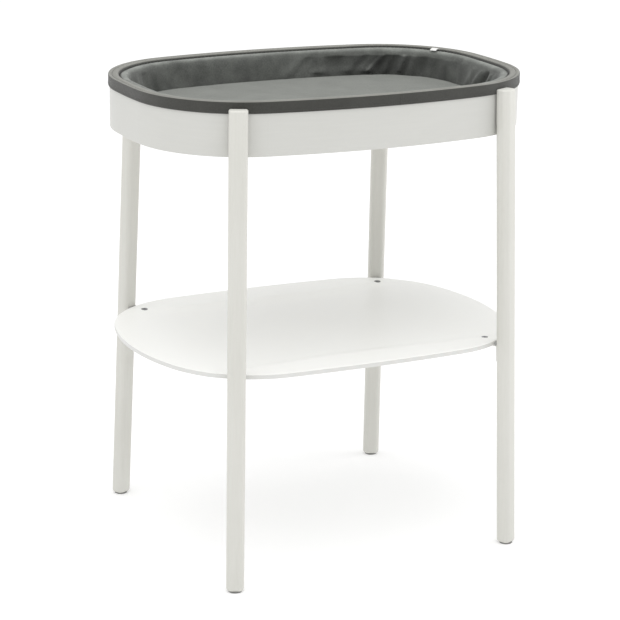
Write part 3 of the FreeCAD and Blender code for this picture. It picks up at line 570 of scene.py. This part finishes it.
# Folds in the face: distance round the rim from the +X end, lean, half width and depth. A fold
# with a negative depth is a crease that sinks into the wadding. A lean carries its foot along.
folds = [
    (0.010, -0.030, 0.012, 0.0040), (0.060, 0.020, 0.020, -0.0020), (0.100, 0.015, 0.018, 0.0026),
    (0.140, -0.015, 0.014, -0.0030), (0.180, -0.010, 0.018, -0.0060), (0.208, -0.014, 0.007, 0.0030),
    (0.223, -0.018, 0.006, -0.0040), (0.238, -0.022, 0.0070, 0.0070), (0.262, -0.030, 0.012, -0.0075),
    (0.296, -0.050, 0.014, -0.0075), (0.322, -0.085, 0.0070, 0.0060), (0.352, -0.060, 0.011, -0.0050),
    (0.402, -0.015, 0.022, -0.0110), (0.442, -0.030, 0.012, 0.0026),
    (0.480, -0.050, 0.011, -0.0040), (0.504, -0.060, 0.012, 0.0024), (0.560, -0.030, 0.026, -0.0014),
    (0.650, 0.030, 0.030, 0.0014), (0.740, -0.030, 0.028, -0.0014), (0.815, 0.020, 0.016, 0.0018),
    (0.862, 0.012, 0.016, -0.0050), (0.905, 0.010, 0.014, 0.0022), (0.960, -0.015, 0.016, -0.0026),
    (1.060, 0.020, 0.022, 0.0022), (1.180, 0.030, 0.016, -0.0034), (1.210, 0.030, 0.012, 0.0034),
    (1.290, -0.030, 0.014, 0.0034), (1.330, -0.020, 0.010, -0.0040), (1.460, 0.040, 0.020, 0.0026),
    (1.560, -0.030, 0.014, -0.0032), (1.640, -0.040, 0.018, 0.0026), (1.790, 0.040, 0.016, -0.0034),
    (1.830, 0.040, 0.012, 0.0040), (1.900, 0.020, 0.010, -0.0044), (1.930, 0.020, 0.010, 0.0040),
    (1.965, 0.025, 0.009, -0.0044), (2.050, 0.020, 0.014, 0.0030), (2.120, -0.030, 0.014, 0.0030),
    (2.150, -0.045, 0.008, 0.0055), (2.176, -0.045, 0.007, -0.0090), (2.200, -0.045, 0.009, 0.0050),
]
# Where the spare cloth lies: distance round the rim, half width and how much there is.
gathers = [(0.31, 0.10, 1.0), (0.21, 0.05, 0.6), (0.02, 0.06, 0.5), (2.17, 0.05, 0.9), (1.93, 0.12, 0.6),
           (1.30, 0.12, 0.5), (0.86, 0.05, 0.3)]
# Where the face is darkened with painted shade for the shadows among its gathered folds: distance
# round the rim, half width and how much.
painted_fold_shade = [(0.27, 0.12, 1.0), (0.38, 0.06, 0.3), (0.10, 0.05, 0.4), (1.08, 0.05, 0.6), (1.60, 0.15, 0.4)]
# Crumples that lie over the pad's edge: distance round the rim, half width and how far they reach.
pad_crumples = [(0.325, 0.022, 0.0060), (0.372, 0.016, 0.0045), (0.425, 0.022, 0.0060),
                (0.275, 0.012, 0.0030)]
crumple_share, crumple_height = 0.50, 0.13  # their place and half height, as shares of the face
# Where the lip stands away from the hem and its sewing shows: distance round the rim and half width.
open_seams = [(0.235, 0.10), (0.885, 0.035), (1.35, 0.10), (1.93, 0.06), (2.19, 0.05)]
seam_close = 0.0026                  # elsewhere the lip lies this much nearer to the hem
# The spare cloth pulls the seam out over the ring here: distance round the rim, half width, reach.
seam_pull = (0.245, 0.12, 0.0045)


def wrapped(distance):
    """The same distance round the rim, brought to between minus and plus half the way round."""
    return distance - wall_girth * round(distance / wall_girth)


def pulled_out(distance):
    """How far the lip's seam is pulled outwards at a distance round the rim."""
    middle, width, reach = seam_pull
    return reach * math.exp(-(wrapped(distance - middle) / width) ** 2)


def fold_depth(distance, share):
    """How far the face stands proud at a place; share runs from 0 at the lip to 1 at the foot."""
    proud = 0.0
    for middle, lean, width, depth in folds:
        away = wrapped(distance - middle + lean * (share - 0.5))
        proud += depth * math.exp(-(away / width) ** 2)
    proud *= math.sin(math.pi * min(share * 1.15 + 0.06, 1.0)) ** 0.7
    for middle, width, reach in pad_crumples:
        away = wrapped(distance - middle) / width
        proud += reach * math.exp(-away ** 2 - ((share - crumple_share) / crumple_height) ** 2)
    return proud


def swept_band(name, stations, girth, section, closed, height_of=None):
    """A band with one section all round the tray. Its UV map is the cloth spread flat."""
    count, depth = len(stations), len(section)
    verts, faces = [], []
    for place, outward, distance in stations:
        for row, (inset, height) in enumerate(section):
            extra = height_of(distance, row) if height_of else 0.0
            verts.append((*(place - outward * (inset + extra)), height))
    spans = depth if closed else depth - 1
    for step in range(count):
        for row in range(spans):
            a, b = step * depth + row, step * depth + (row + 1) % depth
            c, d = ((step + 1) % count) * depth + (row + 1) % depth, ((step + 1) % count) * depth + row
            faces.append((a, d, c, b))
    mesh = mesh_from(name, verts, faces)
    heights = [0.0]
    for before, after in zip(section, section[1:] + section[:1]):
        heights.append(heights[-1] + math.dist(before, after))

    def spot_of(polygon, vertex):
        step, row = divmod(polygon.index, spans)
        at_step, at_row = divmod(vertex, depth)
        across = stations[at_step][2] if at_step == step else stations[step][2] + girth / count
        return across, heights[row + 1 if at_row != row else row]

    write_uv(mesh, spot_of)
    return new_object(name, mesh)


def face_swell(distance, row):
    """How far a point of the wall's section moves inwards at a distance round the rim."""
    if row < len(neck_points):
        opening = sum(math.exp(-(wrapped(distance - middle) / width) ** 4) for middle, width in open_seams)
        return -seam_close * (1 - min(opening, 1.0)) - pulled_out(distance)
    if row <= first_face_row:
        return -pulled_out(distance) * (first_face_row + 2 - row) / (len(lip_points) + 2)
    if row >= last_face_row:
        return 0.0
    return fold_depth(distance, (row - first_face_row) / face_steps)


wall = swept_band("padded_wall", wall_stations, wall_girth, wall_section, True, face_swell)


def settle_cloth(piece, held_weight, pressure, frames, reach, spare_weight=None, spare=0.0):
    """Lets a mesh find its shape as cloth over wadding, and caps how far a point may move.
    Where spare_weight is 1, the cloth is longer than the mesh by the spare share, and buckles."""
    held = piece.vertex_groups.new(name="held")
    longer = piece.vertex_groups.new(name="longer")
    for vertex in piece.data.vertices:
        held.add([vertex.index], held_weight(vertex), "REPLACE")
        longer.add([vertex.index], spare_weight(vertex) if spare_weight else 0.0, "REPLACE")
    cloth = piece.modifiers.new("cloth", "CLOTH")
    cloth.settings.quality = 6
    cloth.settings.mass = 0.2
    cloth.settings.tension_stiffness = 25
    cloth.settings.compression_stiffness = 25
    cloth.settings.shear_stiffness = 8
    cloth.settings.bending_stiffness = 0.08
    cloth.settings.air_damping = 2
    cloth.settings.vertex_group_mass = "held"
    cloth.settings.vertex_group_shrink = "longer"
    cloth.settings.shrink_max = -spare
    cloth.settings.use_pressure = True
    cloth.settings.uniform_pressure_force = pressure
    cloth.settings.effector_weights.gravity = 0
    cloth.collision_settings.use_collision = False
    cloth.point_cache.frame_start = 1
    cloth.point_cache.frame_end = frames
    for step in range(1, frames + 1):
        scene.frame_set(step)
    depsgraph = bpy.context.evaluated_depsgraph_get()
    settled = [v.co.copy() for v in piece.evaluated_get(depsgraph).data.vertices]
    piece.modifiers.clear()
    piece.vertex_groups.clear()
    for vertex, place in zip(piece.data.vertices, settled):
        move = place - vertex.co
        vertex.co += move * min(1.0, reach / max(move.length, 1e-9))
    scene.frame_set(1)


section_rows = len(wall_section)


def wall_held(vertex):
    row = vertex.index % section_rows
    return 0.0 if first_face_row < row < last_face_row else 1.0


def wall_spare(vertex):
    distance = wall_stations[vertex.index // section_rows][2]
    return min(1.0, sum(amount * math.exp(-(wrapped(distance - middle) / width) ** 2)
                        for middle, width, amount in gathers))


# Below this height the face keeps off the pad's edge.
pad_clear_inset, pad_clear_height = 0.0474, 0.8625
settle_cloth(wall, wall_held, pressure=1.0, frames=26, reach=0.010,
             spare_weight=wall_spare, spare=0.12)
for vertex in wall.data.vertices:
    place, outward, _ = wall_stations[vertex.index // section_rows]
    inset = (place - vertex.co.xy).dot(outward)
    if vertex.co.z < pad_clear_height and inset > pad_clear_inset:
        vertex.co.xy += outward * (inset - pad_clear_inset)
# Painted shade: each point of the face takes its share of the darkening listed for the folds.
fold_shade = wall.data.attributes.new("fold_shade", "FLOAT", "POINT")
for vertex in wall.data.vertices:
    station, row = divmod(vertex.index, section_rows)
    if first_face_row < row < last_face_row:
        fold_shadow_share = sum(share * math.exp(-(wrapped(wall_stations[station][2] - middle) / width) ** 2)
                   for middle, width, share in painted_fold_shade)
        fold_shade.data[vertex.index].value = min(fold_shadow_share, 1.0)
smoother = wall.modifiers.new("smooth", "SUBSURF")
smoother.levels = 1
smoother.render_levels = 1
bake_modifiers(wall)
wall.data.materials.clear()
wall.data.materials.append(liner_cloth)
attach(wall, "liner")
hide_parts("padded_liner")


# ---------------------------------------------------------------- rim hem
# A folded strip of cloth, sewn round the liner's lip. It rolls over the ring's top and hangs
# down outside as a band with an elastic in its foot, which grips the ring behind the legs.

# Its section up the outside, over the rim and down the inside: inset from the ring's face, height.
hem_section = [
    (-0.0005, 0.9055), (-0.0005, 0.8980), (-0.0005, 0.8920), (-0.0008, 0.8905), (-0.0015, 0.8900),
    (-0.0022, 0.8904), (-0.0026, 0.8918), (-0.0027, 0.8940), (-0.0026, 0.8965), (-0.0026, 0.9000),
    (-0.0026, 0.9040), (-0.0026, 0.9075), (-0.0026, 0.9098), (-0.0022, 0.9112), (-0.0012, 0.9117),
    (0.0003, 0.9117), (0.0020, 0.9116), (0.0032, 0.9112), (0.0041, 0.9107), (0.0049, 0.9105),
    (0.0057, 0.9107), (0.0066, 0.9112), (0.0080, 0.9116), (0.0100, 0.9117), (0.0125, 0.9117),
    (0.0148, 0.9113), (0.0166, 0.9103), (0.0178, 0.9086), (0.0182, 0.9060), (0.0182, 0.9010),
    (0.0182, 0.8950),
]
hem_stations, hem_girth = outline_stations(ring_high.x, ring_high.y, tray_radii, 420)
hem_top_start = 21                   # from this row on, the section lies inside the top stitch
hem_inner_inset = 0.0182


def hem_pull(distance, row):
    """How far the hem's inner edge follows the lip's seam outwards."""
    inset = hem_section[row][0]
    return -pulled_out(distance) * inset / hem_inner_inset if row >= hem_top_start else 0.0


hem = swept_band("hem_band", hem_stations, hem_girth, hem_section, False, hem_pull)
cloth_thickness = 0.0007
thicken = hem.modifiers.new("thickness", "SOLIDIFY")
thicken.thickness = cloth_thickness
thicken.offset = -1
bake_modifiers(hem)
# The hem's top is painted far paler than its band: a painted top light.
hem_cloth = woven("hem_cloth", (0.068, 0.068, 0.061), (0.036, 0.036, 0.032), sheen=0.26,
                  relief=0.0003, painted_top_light=4.3, fleck_share=0.6)
hem.data.materials.clear()
hem.data.materials.append(hem_cloth)
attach(hem, "liner")
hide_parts("rim_hem")

# Two rows of stitches hold the hem: a top stitch in the groove and one above the elastic. Longer
# threads across the gap sew the hem to the liner's lip.


def stitch_tree():
    """Threads at even steps along a seam line, each a long bead turned from the line by an angle."""
    tree = bpy.data.node_groups.new("seam_stitches", "GeometryNodeTree")
    sockets = {"Seam": "NodeSocketGeometry", "Step": "NodeSocketFloat", "Stitch Length": "NodeSocketFloat",
               "Thread Radius": "NodeSocketFloat", "Turn": "NodeSocketFloat", "Thread": "NodeSocketMaterial"}
    for name, kind in sockets.items():
        tree.interface.new_socket(name, in_out="INPUT", socket_type=kind)
    tree.interface.new_socket("Stitches", in_out="OUTPUT", socket_type="NodeSocketGeometry")
    given = add_node(tree, "NodeGroupInput").outputs
    line = add_node(tree, "GeometryNodeMeshToCurve", {"Mesh": given["Seam"]}).outputs[0]
    steps = add_node(tree, "GeometryNodeResampleCurve", {
        "Curve": line, "Length": given["Step"]}, mode="LENGTH")
    tangent = add_node(tree, "GeometryNodeInputTangent").outputs[0]
    along = add_node(tree, "FunctionNodeAlignRotationToVector", {"Vector": tangent}, axis="X", pivot_axis="Z")
    sway = add_node(tree, "FunctionNodeRandomValue", {2: -0.12, 3: 0.12, "Seed": 3}).outputs[1]
    angle = add_node(tree, "ShaderNodeMath", {0: given["Turn"], 1: sway}, operation="ADD").outputs[0]
    turn = add_node(tree, "FunctionNodeAxisAngleToRotation", {"Axis": (0, 0, 1), "Angle": angle}).outputs[0]
    rotation = add_node(tree, "FunctionNodeRotateRotation", {
        "Rotation": along.outputs[0], "Rotate By": turn}, rotation_space="LOCAL").outputs[0]
    stretch = add_node(tree, "FunctionNodeRandomValue", {2: 0.85, 3: 1.1, "Seed": 8}).outputs[1]
    half = add_node(tree, "ShaderNodeMath", {
        0: given["Stitch Length"], 1: 0.5}, operation="MULTIPLY").outputs[0]
    reach = add_node(tree, "ShaderNodeMath", {0: half, 1: stretch}, operation="MULTIPLY").outputs[0]
    size = add_node(tree, "ShaderNodeCombineXYZ", {
        0: reach, 1: given["Thread Radius"], 2: given["Thread Radius"]})
    bead = add_node(tree, "GeometryNodeMeshUVSphere", {
        "Segments": 6, "Rings": 6, "Radius": 1.0}).outputs[0]
    threads = add_node(tree, "GeometryNodeInstanceOnPoints", {
        "Points": steps.outputs[0], "Instance": bead, "Rotation": rotation,
        "Scale": size.outputs[0]}).outputs[0]
    solid = add_node(tree, "GeometryNodeRealizeInstances", {0: threads}).outputs[0]
    smooth = add_node(tree, "GeometryNodeSetShadeSmooth", {"Geometry": solid}).outputs[0]
    dyed = add_node(tree, "GeometryNodeSetMaterial", {
        "Geometry": smooth, "Material": given["Thread"]}).outputs[0]
    add_node(tree, "NodeGroupOutput", {0: dyed})
    return tree


stitches = stitch_tree()


def sew(name, line, body, thread, step, length, radius, turn=0.0):
    """A row of stitches along a closed line of points, as one plain mesh that rides on a body."""
    seam = bpy.data.meshes.new(name)
    seam.from_pydata(line, [(at, (at + 1) % len(line)) for at in range(len(line))], [])
    row = new_object(name, seam)
    sewing = row.modifiers.new("stitches", "NODES")
    sewing.node_group = stitches
    inputs = {"Step": step, "Stitch Length": length, "Thread Radius": radius, "Turn": turn, "Thread": thread}
    for socket in stitches.interface.items_tree:
        if socket.in_out == "INPUT" and socket.name in inputs:
            sewing[socket.identifier] = inputs[socket.name]
    bake_modifiers(row)
    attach(row, body)
    return row


def rim_line(inset, height, pull=0.0):
    """A line of points round the rim at an inset and a height; pull 1 follows the lip's seam."""
    return [(*(place - outward * (inset - pull * pulled_out(distance))), height)
            for place, outward, distance in hem_stations]


grey_thread = plain_finish("grey_thread", (0.13, 0.13, 0.125), 0.7, 0.0, 0.0004, 0.35, 0.0001)
dark_thread = plain_finish("dark_thread", (0.075, 0.075, 0.07), 0.7, 0.0, 0.0004, 0.35, 0.0001)
top_stitch = sew("hem_top_stitch", rim_line(0.0049, 0.9106), "liner", grey_thread,
                 step=0.0044, length=0.0034, radius=0.0004)
foot_stitch = sew("hem_foot_stitch", rim_line(-0.0027, 0.8942), "liner", dark_thread,
                  step=0.0044, length=0.0034, radius=0.0004)
sew("lip_stitch", rim_line(0.0198, 0.9078, pull=1.0), "liner", grey_thread,
    step=0.0085, length=0.0058, radius=0.0006, turn=math.radians(65))

# The strip's two ends are joined in one upright seam at the front, which stands a little proud.
join_distance, join_width, join_proud = 1.700, 0.0016, 0.0004
band_start, band_end = 4, 15         # the rows of the hem's section that lie outside the ring
join_rows = [(inset - join_proud, height) for inset, height in hem_section[band_start:band_end]]
fine_stations, _ = outline_stations(ring_high.x, ring_high.y, tray_radii, 4200)
join_stations = [station for station in fine_stations if abs(station[2] - join_distance) < join_width / 2]
verts = [(*(place - outward * inset), height)
         for place, outward, _ in join_stations for inset, height in join_rows]
faces = []
for step in range(len(join_stations) - 1):
    for row in range(len(join_rows) - 1):
        a = step * len(join_rows) + row
        faces.append((a, a + len(join_rows), a + len(join_rows) + 1, a + 1))
join_mesh = mesh_from("hem_join", verts, faces)
write_uv(join_mesh, lambda polygon, vertex: join_mesh.vertices[vertex].co.xz)
hem_join = new_object("hem_join", join_mesh)
thicken = hem_join.modifiers.new("thickness", "SOLIDIFY")
thicken.thickness = 2 * join_proud
thicken.offset = -1
bake_modifiers(hem_join)
hem_join.data.materials.append(hem_cloth)
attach(hem_join, "liner")

elastic_rubber = plain_finish("elastic_band", (0.75, 0.74, 0.7), 0.8, 0.0, 0.0008, 0.25, 0.0002)
dress(elastic_rubber, "hem_elastic")


# ---------------------------------------------------------------- loop label
# A blank white tape, folded in two and caught in the seam of the liner's lip at the back right.
# It lies over the rim, and its loop points into the tray.

label_low, label_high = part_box("loop_label")
label_turn = math.radians(58)        # the way the label faces, measured from +Y
label_shift = 0.0045                 # along the rim, from the middle of its CAD solid
label_width, label_thickness = 0.0138, 0.0006
label_outward = Vector((math.sin(label_turn), math.cos(label_turn)))
label_side = Vector((label_outward.y, -label_outward.x))
label_middle = ((label_low + label_high) / 2).xy + label_side * label_shift
# The tape from its sewn end round the loop and back: reach outwards over the rim, height.
label_path = [(0.0062, 0.9076), (0.0052, 0.9100), (0.0030, 0.9118), (0.0000, 0.9126), (-0.0035, 0.9124),
              (-0.0070, 0.9114), (-0.0098, 0.9098), (-0.0108, 0.9094), (-0.0112, 0.9101), (-0.0102, 0.9108),
              (-0.0072, 0.9124), (-0.0035, 0.9134), (0.0000, 0.9136), (0.0036, 0.9127), (0.0060, 0.9106),
              (0.0070, 0.9078)]
label_steps = 6
verts, faces = [], []
for reach, height in label_path:
    for step in range(label_steps + 1):
        spot = label_middle + label_outward * reach + label_side * label_width * (step / label_steps - 0.5)
        verts.append((*spot, height))
for row in range(len(label_path) - 1):
    for step in range(label_steps):
        a = row * (label_steps + 1) + step
        faces.append((a, a + 1, a + label_steps + 2, a + label_steps + 1))
label_mesh = mesh_from("label_tape", verts, faces)
label_row = label_steps + 1
label_row_length = 0.0025            # mean length of tape from one row of points to the next
write_uv(label_mesh, lambda polygon, vertex: (vertex % label_row * label_width / label_steps,
                                              vertex // label_row * label_row_length))
label = new_object("label_tape", label_mesh)
thicken = label.modifiers.new("thickness", "SOLIDIFY")
thicken.thickness = label_thickness
thicken.offset = -1
bake_modifiers(label)
tape_cloth = woven("label_cloth", (0.86, 0.86, 0.84), (0.78, 0.78, 0.76), sheen=0.1, relief=0.0001)
label.data.materials.clear()
label.data.materials.append(tape_cloth)
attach(label, "liner")
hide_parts("loop_label")


# ---------------------------------------------------------------- changing pad
# A flat slab of soft foam in a sewn woven cover, dropped loose into the tray. The cover's top
# and base are two pieces of cloth that meet in a seam half way up the side.

pad_low, pad_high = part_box("pad_top_cover")
pad_base_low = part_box("pad_base_cover")[0]
pad_inset = ring_high.x - pad_high.x
pad_stations, _ = outline_stations(ring_high.x, ring_high.y, tray_radii, 240)
pad_shrink = 0.0015                  # the slab is made this much small, because the cover swells
pad_round, pad_round_steps = 0.008, 5
pad_flat, pad_flat_steps = 0.12, 12  # rows of points follow the outline this far in over the flat
seam_height = pad_low.z
bottom, top = pad_base_low.z + 0.0005, pad_high.z - pad_shrink
pad_rows = []
for step in range(pad_round_steps + 1):
    turn = math.pi / 2 * step / pad_round_steps
    pad_rows.append((pad_round * (1 - math.cos(turn)), top - pad_round * (1 - math.sin(turn))))
pad_rows += [(pad_round + pad_flat * step / pad_flat_steps, top) for step in range(1, pad_flat_steps + 1)]
pad_side = [(inset, bottom + top - height) for inset, height in pad_rows]
verts, faces = [], []
count = len(pad_stations)
for row_list in (pad_rows, pad_side):
    for inset, height in row_list:
        for place, outward, _ in pad_stations:
            verts.append((*(place - outward * (pad_inset + pad_shrink + inset)), height))
    verts.append((0, 0, row_list[-1][1]))
half = len(pad_rows) * count + 1
for side, base in ((1, 0), (-1, half)):
    for row in range(len(pad_rows)):
        for step in range(count):
            a, b = base + row * count + step, base + row * count + (step + 1) % count
            last = row == len(pad_rows) - 1
            face = (a, b, base + half - 1) if last else (a, b, b + count, a + count)
            faces.append(face if side > 0 else tuple(reversed(face)))
for step in range(count):
    faces.append((half + step, half + (step + 1) % count, (step + 1) % count, step))
slab = new_object("pad_slab", mesh_from("pad_slab", verts, faces))
remesh = slab.modifiers.new("even_cloth", "REMESH")
remesh.mode = "VOXEL"
remesh.voxel_size = 0.006
bake_modifiers(slab)
slab.data.polygons.foreach_set("use_smooth", [True] * len(slab.data.polygons))

settle_cloth(slab, lambda vertex: 0.0, pressure=3.0, frames=14, reach=0.002)
for vertex in slab.data.vertices:
    vertex.co.z = max(vertex.co.z, pad_base_low.z)


cover_thickness = 0.0012


def half_cover(name, keep_above):
    """The slab's skin on one side of the seam, as a sewn half of the cover."""
    cover = bmesh.new()
    cover.from_mesh(slab.data)
    bmesh.ops.bisect_plane(cover, geom=cover.verts[:] + cover.edges[:] + cover.faces[:],
                           plane_co=(0, 0, seam_height), plane_no=(0, 0, 1),
                           clear_inner=keep_above, clear_outer=not keep_above)
    mesh = bpy.data.meshes.new(name)
    cover.to_mesh(mesh)
    cover.free()
    write_uv(mesh, lambda polygon, vertex: mesh.vertices[vertex].co.xy)
    piece = new_object(name, mesh)
    smoother = piece.modifiers.new("smooth", "SUBSURF")
    smoother.levels = 1
    smoother.render_levels = 1
    thicken = piece.modifiers.new("thickness", "SOLIDIFY")
    thicken.thickness = cover_thickness
    thicken.offset = -1
    bake_modifiers(piece)
    return piece


foam_inset = 0.0022                  # the cover and a little air lie over the foam
foam_mesh = slab.data.copy()
foam_mesh.name = "pad_foam_core"
skin = [vertex.normal.copy() for vertex in slab.data.vertices]
for vertex, outward in zip(foam_mesh.vertices, skin):
    vertex.co -= outward * foam_inset
foam_core = new_object("pad_foam_core", foam_mesh)
foam = plain_finish("pad_foam_cells", (0.78, 0.72, 0.50), 0.9, 0.0, 0.0015, 0.2, 0.0005)
foam_mesh.materials.clear()
foam_mesh.materials.append(foam)
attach(foam_core, "changing_pad")
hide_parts("pad_foam")

pad_cloth = woven("pad_cloth", (0.210, 0.219, 0.201), (0.168, 0.175, 0.160), sheen=0.15, relief=0.00025)
pad_back_cloth = woven("pad_back_cloth", (0.20, 0.21, 0.20), (0.15, 0.158, 0.15), sheen=0.2, relief=0.00025)
for name, keep_above, cloth, node, slot in (
    ("pad_cover_top", True, pad_cloth, "pad_top_cover", "pad_fabric"),
    ("pad_cover_base", False, pad_back_cloth, "pad_base_cover", "pad_back_fabric"),
):
    cover = half_cover(name, keep_above)
    cover.data.materials.clear()
    cover.data.materials.append(cloth)
    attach(cover, "changing_pad")
    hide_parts(node)

pad_edge = bmesh.new()
pad_edge.from_mesh(slab.data)
cut = bmesh.ops.bisect_plane(pad_edge, geom=pad_edge.verts[:] + pad_edge.edges[:] + pad_edge.faces[:],
                             plane_co=(0, 0, seam_height), plane_no=(0, 0, 1))
around = sorted((v.co.copy() for v in cut["geom_cut"] if isinstance(v, bmesh.types.BMVert)),
                key=lambda spot: math.atan2(spot.y, spot.x))
pad_edge.free()
pad_thread = plain_finish("pad_thread", (0.26, 0.27, 0.25), 0.7, 0.0, 0.0004, 0.3, 0.0001)
sew("pad_seam_stitch", around, "changing_pad", pad_thread,
    step=0.006, length=0.004, radius=0.0005)
bpy.data.objects.remove(slab)
